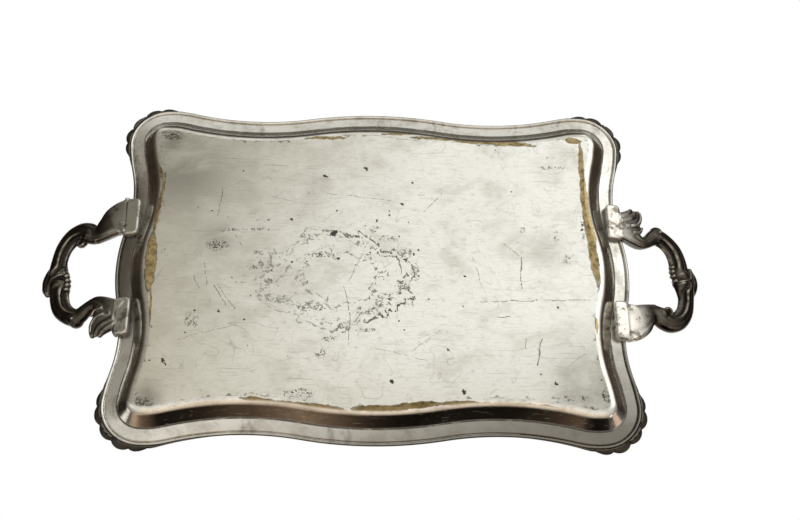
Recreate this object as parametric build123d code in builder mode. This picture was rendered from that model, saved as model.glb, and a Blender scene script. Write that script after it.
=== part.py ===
from build123d import *
"""Serpentine two-handled vanity tray.

Frame: origin on the underside of the flat panel, at its centre. +X runs to the
right-hand handle, +Y across the tray, +Z up. Units are millimetres.
"""

import math
import os

os.makedirs("parts", exist_ok=True)

# ---- driving dimensions ---------------------------------------------------
SHEET = 1.2             # thickness of the pressed sheet
HALF_WIDTH = 163.3      # outer edge to centre line at the middle of a long side
# Quarter outline at the outer edge, from the middle of a long side to the middle
# of a short side: (radius, turn). A negative turn bends towards the tray.
QUARTER = [(375.0, -9.5), (280.0, 23.0), (80.0, -18.5), (36.0, -91.5),
           (200.0, -7.5), (123.0, 28.5)]
FLANGE_WIDTH = 14.2     # outer edge to crease
WALL_RUN = 16.5         # crease to the edge of the flat panel
CREASE_HEIGHT = 12.0    # underside of the crease above the base plane
EDGE_HEIGHT = 15.4      # underside of the flange carried out to the outer edge
SHOULDER_RADIUS = 11.5  # rounded shoulder between panel and wall
SHOULDER_TURN = 50.0    # how far the shoulder turns up
WIRE_RADIUS = 1.5       # edge bead
SEAT_GAP = 0.02         # clearance between a casting and the sheet or bead

LOBES = 5               # lobes in one corner fan
LOBE_PITCH = 20.0       # angle from lobe to lobe round the corner
LOBE_SEMI = (12.5, 7.2, 7.5)    # half length, half width and height of a lobe
LOBE_OVERHANG = 6.5     # reach of the centre lobe past the outer edge
LOBE_LIFT = 3.0         # widest part of a lobe above the seat on the rim
SKIRT_HEIGHT = 13.6     # lowest point of the lobes outside the bead
SCROLL_RADIUS = 6.5     # centre-line radius of the C-scroll beside a fan
SCROLL_BAR = 2.4        # section radius of that scroll
# leaf run beside each scroll: distance along the edge, inset, half length,
# half width, height
LEAF_RUN = [(13.0, 6.5, 10.0, 4.4, 4.2), (25.0, 6.0, 9.5, 3.7, 3.6),
            (36.0, 5.6, 8.5, 3.0, 3.0)]

HANDLE_SLOPE = 25.0     # rise of the handle plane from the rim outwards
HANDLE_ROOT = (227.0, 12.0)     # x and z where the handle plane starts
# Limbs of the right-hand handle in its own plane: u outwards, v along +Y,
# heading in degrees, full width and full thickness of the oval section.
LONG_LIMB = [(-4, 48, 0, 33, 8.5), (12, 47, -20, 32, 11),
             (20.5, 42, -33, 23, 12), (28.5, 37.5, -12, 16, 11.5),
             (38, 38.8, 12, 18.5, 12.5), (48, 40.8, -2, 18.5, 13),
             (58, 37, -38, 17.5, 13), (66, 27.5, -62, 16, 12.5),
             (69.5, 15, -82, 16, 12.5), (69, 2, -98, 19, 13.5),
             (67, -5, -106, 20, 13.5)]
SHORT_LIMB = [(67, 2, -98, 10, 8), (65.5, -12, -94, 19, 11.5),
              (64.5, -22, -100, 19, 12.5), (60.5, -32.5, -125, 18, 12.5),
              (52, -40, -152, 16.5, 12), (42, -42.5, -182, 16, 12),
              (33, -39, -214, 13, 11), (24, -36, -184, 12.5, 10.5),
              (14, -38.5, -155, 17, 10.5), (7, -43.5, -150, 26, 10),
              (1, -48, -170, 31, 9)]
OUTER_LEAF = [(72, 8, -62, 10, 8), (79, -3, -62, 13, 8),
              (83.5, -11, -66, 9, 7), (85, -15.5, -75, 3.5, 4)]
HOOK_LEAF = [(12, -41, -55, 13, 8), (19, -49, -62, 11, 8),
             (22.5, -57, -75, 9, 7), (23, -65.5, -92, 4.5, 4)]
VOLUTES = [(39, -48.5, 5.6), (46.5, 30.5, 4.6), (54.5, -1, 3.0),
           (53.7, -8, 3.0), (54.5, -15, 3.0)]
FEET = [(48.0, 37.0), (-49.5, 36.0)]    # y of the middle, width along y
FOOT_REACH = (214.0, 229.5)             # inner and outer x of a foot
FOOT_DROP = 4.5         # thickness of a foot below the flange


# ---- outline --------------------------------------------------------------
def quarter_points(inset):
    """Start, middle and end of every arc of the quarter outline."""
    x, y, head = 0.0, HALF_WIDTH - inset, 0.0
    closing = -90.0 - sum(turn for _, turn in QUARTER)
    spans = []
    for radius, turn in QUARTER + [(None, closing)]:
        side = 1.0 if turn > 0 else -1.0
        a = math.radians(turn)
        r = radius + side * inset if radius else y / math.sin(-a)
        cx, cy = x - side * r * math.sin(head), y + side * r * math.cos(head)
        span = [(x, y)]
        for part in (0.5, 1.0):
            h = head + a * part
            span.append((cx + side * r * math.sin(h), cy - side * r * math.cos(h)))
        spans.append(span)
        (x, y), head = span[-1], head + a
    spans[-1][-1] = (spans[-1][-1][0], 0.0)
    return spans


def outline(inset):
    """Closed serpentine wire, parallel to the outer edge at the given inset."""
    spans = quarter_points(inset)
    arcs = []
    for sx, sy in ((1, 1), (1, -1), (-1, -1), (-1, 1)):
        run = spans if sx * sy > 0 else [s[::-1] for s in spans[::-1]]
        for span in run:
            arcs.append(ThreePointArc(*[(sx * px, sy * py) for px, py in span]))
    return Wire(arcs)


def beside_corner(side, distance, inset):
    """Point and heading beside the +X +Y corner arc, inset from the edge."""
    span = 2 if side < 0 else 4
    step = -1 if side < 0 else 1
    radius, turn = QUARTER[span]
    head = math.radians(sum(t for _, t in QUARTER[:3 if side < 0 else 4]))
    x, y = quarter_points(0.0)[3][0 if side < 0 else 2]
    while True:
        bend = 1.0 if turn > 0 else -1.0
        cx, cy = x - bend * radius * math.sin(head), y + bend * radius * math.cos(head)
        sweep_angle = min(distance / radius, math.radians(abs(turn)))
        head += step * bend * sweep_angle
        distance -= sweep_angle * radius
        x = cx + bend * radius * math.sin(head)
        y = cy - bend * radius * math.cos(head)
        if distance < 1e-6:
            return (x + inset * math.sin(head), y - inset * math.cos(head),
                    math.degrees(head))
        span += step
        radius, turn = QUARTER[span]


# ---- section of wall and flange: distance in from the edge, height --------
shoulder_turn = math.radians(SHOULDER_TURN)
flange_slope = math.atan2(EDGE_HEIGHT - CREASE_HEIGHT, FLANGE_WIDTH)
panel_inset = FLANGE_WIDTH + WALL_RUN


def shoulder(radius, angle):
    """Point of the shoulder arc at the given radius about its centre."""
    return (panel_inset - radius * math.sin(angle),
            SHOULDER_RADIUS - radius * math.cos(angle))


low_mid = shoulder(SHOULDER_RADIUS, shoulder_turn / 2)
low_end = shoulder(SHOULDER_RADIUS, shoulder_turn)
high_mid = shoulder(SHOULDER_RADIUS - SHEET, shoulder_turn / 2)
high_end = shoulder(SHOULDER_RADIUS - SHEET, shoulder_turn)
crease = (FLANGE_WIDTH, CREASE_HEIGHT)
sheet_edge = 2 * WIRE_RADIUS
edge = (sheet_edge, EDGE_HEIGHT - sheet_edge * math.tan(flange_slope))
edge_top = (edge[0] + SHEET * math.sin(flange_slope),
            edge[1] + SHEET * math.cos(flange_slope))
wall_slope = math.atan2(crease[1] - low_end[1], low_end[0] - crease[0])
mitre = SHEET / math.cos((wall_slope - flange_slope) / 2)
bend_angle = (wall_slope + flange_slope) / 2
crease_top = (crease[0] + mitre * math.sin(bend_angle),
              crease[1] + mitre * math.cos(bend_angle))
wire_z = (edge[1] + edge_top[1]) / 2
section = Plane(origin=(0, HALF_WIDTH, 0), x_dir=(0, -1, 0), z_dir=(-1, 0, 0))
edge_path = outline(0.0)

# ---- pressed sheet --------------------------------------------------------
with BuildPart() as tray_body:
    with BuildSketch(section):
        with BuildLine():
            ThreePointArc((panel_inset, 0), low_mid, low_end)
            Polyline(low_end, crease, edge, edge_top, crease_top, high_end)
            ThreePointArc(high_end, high_mid, (panel_inset, SHEET))
            Line((panel_inset, SHEET), (panel_inset, 0))
        make_face()
    sweep(path=edge_path)
    with BuildSketch():
        add(Face(outline(panel_inset)))
    extrude(amount=SHEET)
tray_body.part.label = "tray_body"

# ---- edge bead ------------------------------------------------------------
with BuildPart() as edge_wire:
    with BuildSketch(section):
        with Locations((WIRE_RADIUS, wire_z)):
            Circle(WIRE_RADIUS - SEAT_GAP)
    sweep(path=edge_path)
edge_wire.part.label = "edge_wire"

# ---- space round the rim, cut from the castings so that they seat on it ----
top, low = wire_z + WIRE_RADIUS + 0.1, wire_z - WIRE_RADIUS - 0.1
with BuildPart() as under_rim:
    with BuildSketch(section):
        with BuildLine():
            Polyline((crease_top[0] + 5, crease_top[1] - 5 * math.tan(wall_slope)),
                     (crease_top[0], crease_top[1] + SEAT_GAP),
                     (edge_top[0], edge_top[1] + SEAT_GAP),
                     (edge_top[0] - 0.4, top - 0.25), (WIRE_RADIUS, top),
                     (0.3, top - 0.25), (-0.15, top - 0.9), (-0.15, SKIRT_HEIGHT),
                     (-9, SKIRT_HEIGHT), (-9, -10), (crease_top[0] + 5, -10),
                     close=True)
        make_face()
    sweep(path=edge_path)
with BuildPart() as over_rim:
    with BuildSketch(section):
        with BuildLine():
            Polyline((crease[0] + 5, crease[1] - 5 * math.tan(wall_slope) - SEAT_GAP),
                     (crease[0], crease[1] - SEAT_GAP),
                     (edge[0] + 0.4, edge[1] - 0.1 - SEAT_GAP),
                     (edge[0] - 0.4, low + 0.25), (WIRE_RADIUS, low),
                     (0.3, low + 0.25), (-0.15, low + 0.9), (-0.15, 70),
                     (crease[0] + 5, 70), close=True)
        make_face()
    sweep(path=edge_path)

# ---- corner mounts --------------------------------------------------------
seat = edge_top[1]
unit_ball = Solid.make_sphere(1.0, angle1=-90, angle2=90, angle3=360)


def oval(x, y, z, semi, spin):
    """Ellipsoid with the given semi-axes, turned about +Z."""
    return Location((x, y, z), (0, 0, spin)) * scale(unit_ball, by=semi)


corner_radius = QUARTER[3][0]
corner_head = sum(turn for _, turn in QUARTER[:3])
corner_start = quarter_points(0.0)[3][0]
corner_x = corner_start[0] + corner_radius * math.sin(math.radians(corner_head))
corner_y = corner_start[1] - corner_radius * math.cos(math.radians(corner_head))
corner_mid = 90.0 + corner_head + QUARTER[3][1] / 2
ornaments = []
for k in range(LOBES):
    step = k - (LOBES - 1) / 2
    size = 1.0 - 0.085 * abs(step)
    angle = math.radians(corner_mid + LOBE_PITCH * step)
    r = corner_radius + (LOBE_OVERHANG - LOBE_SEMI[0]) * size
    ornaments.append(oval(corner_x + r * math.cos(angle),
                          corner_y + r * math.sin(angle), seat + LOBE_LIFT,
                          tuple(s * size for s in LOBE_SEMI), math.degrees(angle)))
r = corner_radius - 17.0
ornaments.append(oval(corner_x + r * math.cos(math.radians(corner_mid)),
                      corner_y + r * math.sin(math.radians(corner_mid)), seat,
                      (8.5, 11.0, 5.5), corner_mid))
for side in (-1, 1):
    x, y, head = beside_corner(side, 0.5, 7.0)
    ornaments.append(Location((x, y, seat + 1.0), (0, 0, head))
                     * Solid.make_torus(SCROLL_RADIUS, SCROLL_BAR, Plane.XY))
    ornaments.append(oval(x, y, seat, (4.6, 4.6, 4.2), 0))
    for along, inset, half_long, half_wide, height in LEAF_RUN:
        x, y, head = beside_corner(side, along, inset)
        ornaments.append(oval(x, y, seat - 0.8, (half_long, half_wide, height), head))

with BuildPart() as corner_mount_ne:
    add(ornaments)
    add(under_rim.part, mode=Mode.SUBTRACT)
corner_mount_ne.part.label = "corner_mount_ne"
with BuildPart() as corner_mount_nw:
    add(corner_mount_ne.part)
    mirror(about=Plane.YZ, mode=Mode.REPLACE)
corner_mount_nw.part.label = "corner_mount_nw"
with BuildPart() as corner_mount_se:
    add(corner_mount_ne.part)
    mirror(about=Plane.XZ, mode=Mode.REPLACE)
corner_mount_se.part.label = "corner_mount_se"
with BuildPart() as corner_mount_sw:
    add(corner_mount_nw.part)
    mirror(about=Plane.XZ, mode=Mode.REPLACE)
corner_mount_sw.part.label = "corner_mount_sw"

# ---- handles --------------------------------------------------------------
slope = math.radians(HANDLE_SLOPE)
out_dir = Vector(math.cos(slope), 0, math.sin(slope))
handle_plane = Plane(origin=(HANDLE_ROOT[0], 0, HANDLE_ROOT[1]), x_dir=out_dir,
                     z_dir=(-math.sin(slope), 0, math.cos(slope)))


def limb(stations):
    """Loft of ovals set square to the centre line of one limb."""
    rings = []
    for u, v, heading, width, thick in stations:
        h = math.radians(heading)
        plane = Plane(origin=handle_plane.from_local_coords((u, v, 0)),
                      x_dir=out_dir * -math.sin(h) + Vector(0, math.cos(h), 0),
                      z_dir=out_dir * math.cos(h) + Vector(0, math.sin(h), 0))
        with BuildSketch(plane) as ring:
            Ellipse(width / 2, thick / 2)
        rings.append(ring.sketch.face().outer_wire())
    return Solid.make_loft(rings)


limbs = [limb(s) for s in (LONG_LIMB, SHORT_LIMB, OUTER_LEAF, HOOK_LEAF)]
foot_x = sum(FOOT_REACH) / 2
foot_tilt = -math.degrees(flange_slope)
curls = [oval(*handle_plane.from_local_coords((u, v, 0)), (r, r * 1.1, r), 15)
         for u, v, r in VOLUTES]

with BuildPart() as foot:
    Box(FOOT_REACH[1] - FOOT_REACH[0], FEET[0][1], 3 * FOOT_DROP)
    fillet(foot.edges().filter_by(Axis.Z), 5.0)
    chamfer(foot.faces().sort_by(Axis.Z)[0].edges(), 1.5)

with BuildPart() as casting:
    add(limbs + curls)
    for y, _ in FEET:
        with Locations(Location((foot_x, y, EDGE_HEIGHT - 0.6), (0, foot_tilt, 0))):
            add(foot.part)
    add(over_rim.part, mode=Mode.SUBTRACT)
with BuildPart() as handle_right:
    add(casting.part.solids().sort_by(SortBy.VOLUME)[-1])
handle_right.part.label = "handle_right"
with BuildPart() as handle_left:
    with Locations(Rotation(0, 0, 180)):
        add(handle_right.part)
handle_left.part.label = "handle_left"

# ---- output ---------------------------------------------------------------
for piece in (tray_body, edge_wire, corner_mount_ne, corner_mount_nw,
              corner_mount_se, corner_mount_sw, handle_right, handle_left):
    export_step(piece.part, "parts/" + piece.part.label + ".step")
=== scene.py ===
import math
from functools import cached_property, partialmethod

import bpy
import numpy as np
from mathutils import Euler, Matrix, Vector


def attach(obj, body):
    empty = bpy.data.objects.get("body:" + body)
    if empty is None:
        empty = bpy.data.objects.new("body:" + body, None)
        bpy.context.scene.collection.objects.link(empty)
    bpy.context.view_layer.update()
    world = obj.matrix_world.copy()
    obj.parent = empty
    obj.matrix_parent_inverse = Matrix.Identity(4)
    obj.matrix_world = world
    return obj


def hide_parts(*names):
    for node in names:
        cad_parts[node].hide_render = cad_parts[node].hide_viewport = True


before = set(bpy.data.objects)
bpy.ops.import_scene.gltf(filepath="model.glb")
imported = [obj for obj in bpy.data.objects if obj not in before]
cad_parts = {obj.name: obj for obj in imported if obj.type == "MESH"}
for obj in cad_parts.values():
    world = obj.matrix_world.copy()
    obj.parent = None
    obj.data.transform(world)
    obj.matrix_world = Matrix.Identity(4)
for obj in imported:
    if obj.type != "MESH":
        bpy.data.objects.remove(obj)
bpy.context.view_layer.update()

MM = 0.001

# ---- the rim's driving sizes, as in the CAD, in millimetres ----------------
HALF_WIDTH = 163.3
QUARTER = [(375, -9.5), (280, 23), (80, -18.5), (36, -91.5),
           (200, -7.5), (123, 28.5)]
CORNER_ARC = 3
FLANGE, WALL = 14.2, 16.5
CREASE_Z, EDGE_Z = 12.0, 15.4
SHEET = 1.2
WIRE = 1.5
SHOULDER_R, SHOULDER_TURN = 11.5, math.radians(50)
PANEL = FLANGE + WALL
SLOPE = math.atan2(EDGE_Z - CREASE_Z, FLANGE)
TOP_STEPS, SIDE_STEPS = 110, 80
STEP_INSET = 15.0
LONGEST_ROW = 2.2


# ---- outline ----------------------------------------------------------------
def on_arc(arc, share):
    """Point and heading at a share of an arc."""
    r, a, side, x, y, head = arc
    h = head + a * share
    return (x + side * r * (math.sin(h) - math.sin(head)),
            y - side * r * (math.cos(h) - math.cos(head)), h)


def arcs_at(inset):
    """Radius, turn, side, start point and start heading of a quarter's arcs."""
    x, y, head = 0.0, HALF_WIDTH - inset, 0.0
    closing = -90.0 - sum(t for _, t in QUARTER)
    out = []
    for radius, turn in QUARTER + [(None, closing)]:
        side = 1.0 if turn > 0 else -1.0
        a = math.radians(turn)
        r = radius + side * inset if radius else y / math.sin(-a)
        out.append((r, a, side, x, y, head))
        x, y, head = on_arc(out[-1], 1.0)
    return out


def quarter_steps():
    """Arc index and share of that arc for each step, even along the rim."""
    sizes = [abs(r * a) for r, a, *_ in arcs_at(STEP_INSET)]
    ends = np.cumsum([0.0] + sizes)
    corner = ends[CORNER_ARC] + sizes[CORNER_ARC] / 2

    def place(dist):
        i = min(int(np.searchsorted(ends, dist, "right")) - 1, len(sizes) - 1)
        return i, (dist - ends[i]) / sizes[i]
    top = [place(d) for d in np.linspace(0.0, corner, TOP_STEPS + 1)]
    side = [place(d) for d in np.linspace(corner, ends[-1], SIDE_STEPS + 1)]
    return top, side


STEPS_TOP, STEPS_SIDE = quarter_steps()


def at_steps(arcs, steps):
    spots = [on_arc(arcs[i], share) for i, share in steps]
    return (np.array([(x, y) for x, y, _ in spots]),
            np.array([(-math.sin(h), math.cos(h)) for *_, h in spots]))


def whole_loop(top, side):
    """Mirrors the quarter into the closed loop, from the -X +Y corner on."""
    up = np.concatenate([top[::-1] * (-1, 1), top[1:]])
    right = np.concatenate([side, side[::-1][1:] * (1, -1)])
    down = (up * (1, -1))[::-1]
    left = (right * (-1, 1))[::-1]
    return np.concatenate([up[:-1], right[:-1], down[:-1], left[:-1]])


def ring(inset):
    """Points and outward normals round the tray at one inset."""
    arcs = arcs_at(inset)
    pairs = zip(at_steps(arcs, STEPS_TOP), at_steps(arcs, STEPS_SIDE))
    return [whole_loop(top, side) for top, side in pairs]


EDGE, OUTWARD = ring(0.0)
LOOP = len(EDGE)
CORNERS = (0, 2 * TOP_STEPS, 2 * (TOP_STEPS + SIDE_STEPS),
           2 * (2 * TOP_STEPS + SIDE_STEPS))
step_len = np.linalg.norm(np.roll(EDGE, -1, 0) - EDGE, axis=1)
ALONG = np.concatenate([[0.0], np.cumsum(step_len)[:-1]])
PERIMETER = float(step_len.sum())


# ---- mesh helpers -----------------------------------------------------------
def new_mesh(name, verts, faces, attributes=None):
    """A mesh object from points in millimetres."""
    mesh = bpy.data.meshes.new(name)
    mesh.from_pydata((np.asarray(verts) * MM).tolist(), [], [list(f) for f in faces])
    for key, values in (attributes or {}).items():
        layer = mesh.attributes.new(key, "FLOAT", "POINT")
        layer.data.foreach_set("value", np.asarray(values, np.float32))
    mesh.polygons.foreach_set("use_smooth", [True] * len(mesh.polygons))
    mesh.update()
    ob = bpy.data.objects.new(name, mesh)
    bpy.context.scene.collection.objects.link(ob)
    return ob


def strip(a, b, flip=False):
    """Faces between two closed rows of the same length."""
    quads = zip(a, a[1:] + a[:1], b[1:] + b[:1], b)
    return [q[::-1] if flip else q for q in quads]


def grid_faces(rows, cols, wrap=True, flip=False, start=0):
    faces = []
    for i in range(start, start + (rows - 1) * cols, cols):
        a, b = list(range(i, i + cols)), list(range(i + cols, i + 2 * cols))
        faces += strip(a, b, flip)[:cols if wrap else cols - 1]
    return faces


def capped(verts, rows, seg, first, last):
    """Faces along the rows of a tube, with a fan to a point at each end."""
    faces = grid_faces(rows, seg)
    verts = list(verts) + [first, last]
    top = (rows - 1) * seg
    for j in range(seg):
        k = (j + 1) % seg
        faces.append((len(verts) - 2, k, j))
        faces.append((len(verts) - 1, top + j, top + k))
    return verts, faces


def rounded_line(a, b, c, radius, steps=6):
    """The line from a by b to c, its bend at b an arc."""
    a, b, c = (np.array(p, float) for p in (a, b, c))
    u = (a - b) / np.linalg.norm(a - b)
    v = (c - b) / np.linalg.norm(c - b)
    half = math.acos(float(u @ v)) / 2
    reach = radius / math.tan(half)
    centre = b + (u + v) / np.linalg.norm(u + v) * radius / math.sin(half)
    p, q = b + u * reach - centre, b + v * reach - centre
    bend = [p * (1 - t) + q * t for t in np.linspace(0, 1, steps)]
    return [a] + [centre + w / np.linalg.norm(w) * radius for w in bend] + [c]


# ---- section of the pressed sheet: (inset, height) --------------------------
def shoulder(radius):
    """The turn between the flat panel and the wall."""
    return [(PANEL - radius * math.sin(a), SHOULDER_R - radius * math.cos(a))
            for a in np.linspace(0.0, SHOULDER_TURN, 12)]


def subdivide(points):
    out = [np.array(points[0], float)]
    for p in points[1:]:
        base = out[-1]
        n = max(1, math.ceil(np.linalg.norm(p - base) / LONGEST_ROW))
        out += [base + (p - base) * k / n for k in range(1, n + 1)]
    return out


under_arc = shoulder(SHOULDER_R)
edge_low = (2 * WIRE, EDGE_Z - 2 * WIRE * math.tan(SLOPE))
wall_slope = math.atan2(CREASE_Z - under_arc[-1][1], under_arc[-1][0] - FLANGE)
middle = (wall_slope + SLOPE) / 2
mitre = SHEET / math.cos((wall_slope - SLOPE) / 2)
crease_top = (FLANGE + mitre * math.sin(middle), CREASE_Z + mitre * math.cos(middle))
edge_high = (edge_low[0] + SHEET * math.sin(SLOPE), edge_low[1] + SHEET * math.cos(SLOPE))
WIRE_Z = (edge_low[1] + edge_high[1]) / 2
over_arc = shoulder(SHOULDER_R - SHEET)

UNDER = subdivide(under_arc + rounded_line(
    under_arc[-1], (FLANGE, CREASE_Z), edge_low, 1.4)[1:])
OVER = subdivide(over_arc + rounded_line(over_arc[-1], crease_top, edge_high, 2.4)[1:])


def height_at(section, inset):
    """Height of one face of the sheet at an inset from the edge."""
    line = np.array(section)[::-1]
    return np.interp(inset, line[:, 0], line[:, 1])


# waves of the worn panel: along x, along y, and their phases
DENT_DEPTH = 0.16
WAVES = ((0.021, 0.017, 0.3, 1.1), (0.037, -0.029, 2, 0.4), (-0.013, 0.043, 1, 2.6),
         (0.061, 0.052, 4, 3), (0.083, -0.071, 0.7, 5.2))


def dents(x, y):
    """Gentle lift of the worn panel, in millimetres."""
    rise = np.zeros_like(x)
    for k, (wx, wy, p, q) in enumerate(WAVES):
        rise += 0.5 ** (k * 0.7) * np.sin(wx * x + p) * np.cos(wy * y + q)
    return DENT_DEPTH * rise


# ---- tray body --------------------------------------------------------------
def coons(loop):
    """Fills a closed loop with a regular grid, corner to corner."""
    n, m = 2 * TOP_STEPS, 2 * SIDE_STEPS
    top, right = loop[0:n + 1], loop[n:n + m + 1]
    bottom = loop[n + m:2 * n + m + 1][::-1]
    left = np.concatenate([loop[2 * n + m:], loop[:1]])[::-1]
    s = np.linspace(0, 1, n + 1)[None, :, None]
    t = np.linspace(0, 1, m + 1)[:, None, None]
    return (top[None] * (1 - t) + bottom[None] * t
            + left[:, None] * (1 - s) + right[:, None] * s
            - (loop[0] * (1 - s) * (1 - t) + loop[n] * s * (1 - t)
               + bottom[0] * (1 - s) * t + bottom[-1] * s * t))


def border_index(n, m):
    """Grid indices of the patch's border, in the order of the loop."""
    cols = n + 1
    top = list(range(0, n))
    right = [i * cols + n for i in range(m)]
    bottom = [m * cols + j for j in range(n, 0, -1)]
    left = [i * cols for i in range(m, 0, -1)]
    return top + right + bottom + left


def build_body():
    verts, insets, along, faces, upper = [], [], [], [], []
    n, m = 2 * TOP_STEPS, 2 * SIDE_STEPS
    base, _ = ring(PANEL)
    patch = coons(base).reshape(-1, 2)
    border = border_index(n, m)
    near = np.minimum.reduce([np.hypot(*(patch - p).T) for p in base[::4]])
    fade = np.clip((near - 2) / 18.0, 0, 1)
    rise = np.abs(dents(patch[:, 0], patch[:, 1])) * fade
    last_rows = []
    for level, up, section in ((0.0, False, UNDER), (SHEET, True, OVER)):
        start = len(verts)
        verts += [(x, y, level + h) for (x, y), h in zip(patch, rise)]
        insets += list(PANEL + np.clip(near, 0, 60))
        along += [0.0] * len(patch)
        faces += grid_faces(m + 1, n + 1, wrap=False, flip=up, start=start)
        row = [start + i for i in border]
        for inset, h in section[1:]:
            outer = list(range(len(verts), len(verts) + LOOP))
            verts += [(x, y, h) for x, y in ring(inset)[0]]
            insets += [inset] * LOOP
            along += list(ALONG)
            faces += strip(row, outer, flip=not up)
            row = outer
        last_rows.append(row)
        upper += [float(up)] * (len(verts) - start)
    faces += strip(*last_rows, flip=True)
    return new_mesh("tray_body_look", verts, faces,
                    {"inset": insets, "along": along, "upper": upper})


def build_wire():
    """Edge bead, faintly uneven as a soldered wire is."""
    seg = 20
    pts, nrm = ring(WIRE)
    angles = np.linspace(0, 2 * math.pi, seg, endpoint=False)
    verts, faces = [], []
    for k, a in enumerate(angles):
        r = WIRE * (1 - 0.03 * (1 + np.sin(ALONG * 0.11 + 2.0 * math.cos(a))) / 2)
        xy = pts + nrm * (r * math.cos(a))[:, None]
        verts += [(x, y, WIRE_Z + rr * math.sin(a)) for (x, y), rr in zip(xy, r)]
        here, there = (list(range(i * LOOP, (i + 1) * LOOP)) for i in (k, (k + 1) % seg))
        faces += strip(here, there, flip=True)
    inset = np.repeat(WIRE * (1 - np.cos(angles)), LOOP)
    return new_mesh("edge_wire_look", verts, faces,
                    {"inset": inset, "along": list(ALONG) * seg})


# ---- castings ---------------------------------------------------------------
def smooth_stations(stations, count):
    """Catmull-Rom through the stations, even in the station number."""
    p = np.array(stations, float)
    p = np.vstack([2 * p[0] - p[1], p, 2 * p[-1] - p[-2]])
    t = np.linspace(0, len(stations) - 1, count)
    i = np.minimum(t.astype(int), len(stations) - 2)
    f = (t - i)[:, None]
    a, b, c, d = (p[i + k] for k in range(4))
    return 0.5 * (2 * b + (c - a) * f + (2 * a - 5 * b + 4 * c - d) * f * f
                  + (3 * b - a - 3 * c + d) * f ** 3)


def tube(path, across, up, half_a, half_b, seg, relief=None):
    """Closed tube; relief(angle, share) scales the section."""
    phi = np.linspace(0, 2 * math.pi, seg, endpoint=False)
    verts = []
    for i, share in enumerate(np.linspace(0, 1, len(path))):
        k = relief(phi, share) if relief else 1.0
        verts.append(path[i] + np.outer(np.cos(phi) * half_a[i] * k, across[i])
                     + np.outer(np.sin(phi) * half_b[i] * k, up))
    return capped(np.concatenate(verts), len(path), seg, path[0], path[-1])


def ball(centre, semi, axes=np.eye(3), rows=14, seg=24):
    a = math.pi * np.arange(rows - 1, 0, -1).repeat(seg) / rows
    b = 2 * math.pi * np.tile(np.arange(seg), rows - 1) / seg
    unit = np.column_stack([np.sin(a) * np.cos(b), np.sin(a) * np.sin(b), np.cos(a)])
    pole = np.array((0, 0, semi[2])) @ axes
    return capped(unit * semi @ axes + centre, rows - 1, seg, centre - pole, centre + pole)


def cast(name, parts, voxel, seat):
    """Joins closed parts into one skin, as a casting, smooths and seats it."""
    verts, faces = [], []
    for v, f in parts:
        start = len(verts)
        verts += list(v)
        faces += [tuple(start + i for i in face) for face in f]
    rough = new_mesh(name + "_rough", verts, faces)
    mod = rough.modifiers.new("skin", "REMESH")
    mod.mode = "VOXEL"
    mod.voxel_size = voxel * MM
    soft = rough.modifiers.new("soft", "SMOOTH")
    soft.factor = 0.5
    soft.iterations = 2
    dg = bpy.context.evaluated_depsgraph_get()
    mesh = bpy.data.meshes.new_from_object(rough.evaluated_get(dg))
    bpy.data.objects.remove(rough)
    co = seat(np.array([v.co for v in mesh.vertices], float) / MM)
    faces = [tuple(f.vertices) for f in mesh.polygons]
    bpy.data.meshes.remove(mesh)
    return co, faces, hollows(co, faces)


def hollows(co, faces):
    """Shares 0 to 1 of how hollow and how proud the skin is at each point."""
    quads = np.array([f for f in faces if len(f) == 4])
    edges = np.concatenate([quads[:, [k, (k + 1) % 4]] for k in range(4)])
    n = len(co)
    normal = np.zeros((n, 3))
    a, b, c, d = (co[quads[:, k]] for k in range(4))
    face_n = np.cross(c - a, d - b)
    for k in range(4):
        np.add.at(normal, quads[:, k], face_n)
    normal /= np.maximum(np.linalg.norm(normal, axis=1), 1e-9)[:, None]
    count = np.bincount(edges[:, 0], minlength=n) + np.bincount(edges[:, 1], minlength=n)
    count = np.maximum(count, 1)

    def spread(values):
        out = np.zeros_like(values)
        np.add.at(out, edges[:, 0], values[edges[:, 1]])
        np.add.at(out, edges[:, 1], values[edges[:, 0]])
        return out / (count[:, None] if values.ndim == 2 else count)
    soft = co
    for _ in range(3):
        soft = spread(soft)
    value = ((soft - co) * normal).sum(1)
    for _ in range(22):
        soft = spread(soft)
    value += 0.16 * ((soft - co) * normal).sum(1)
    for _ in range(4):
        value = 0.5 * value + 0.5 * spread(value)
    low, mid, high, top = np.percentile(value, (4, 42, 80, 95))
    return {"hollow": np.clip((value - high) / (top - high), 0, 1),
            "proud": np.clip((mid - value) / (mid - low), 0, 1)}


# ---- handles ----------------------------------------------------------------
RISE = math.radians(25)
ROOT = np.array((227.0, 0.0, 12.0))
OUT = np.array((math.cos(RISE), 0.0, math.sin(RISE)))
SIDEWAYS = np.array((0.0, 1.0, 0.0))
NORMAL = np.array((-math.sin(RISE), 0.0, math.cos(RISE)))
HANDLE_AXES = np.array([OUT, SIDEWAYS, NORMAL])
HANDLE_VOXEL, MOUNT_VOXEL = 0.62, 0.6
# axis point in the handle plane, width in the plane, thickness across it
LONG_LIMB = [
    (-5, 49, 37, 8), (4, 48.5, 35, 9.5), (12, 45.5, 30, 11), (19.5, 40.5, 22, 11.5),
    (27, 36.3, 17, 11), (33, 36.5, 18, 12), (40, 39.5, 20, 13), (48, 41.3, 19, 13),
    (58, 37.5, 18, 13), (66, 28, 16.5, 12.5), (69.5, 15, 16, 12.5), (69, 3, 20, 14.5),
    (67.5, -3, 21, 14.5)]
SHORT_LIMB = [
    (68, -1, 12, 8), (65, -12, 20, 12), (64, -22, 19.5, 12.5), (60, -32.5, 18.5, 12.5),
    (52, -40, 17, 12.5), (43.5, -43.5, 17, 12.5), (38.5, -42.5, 15, 11), (30, -36.5, 12, 10),
    (22, -33.8, 12.5, 10), (14, -36.5, 16, 10), (7, -42.5, 25, 9.5), (0, -47.5, 32, 8.5)]


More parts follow.
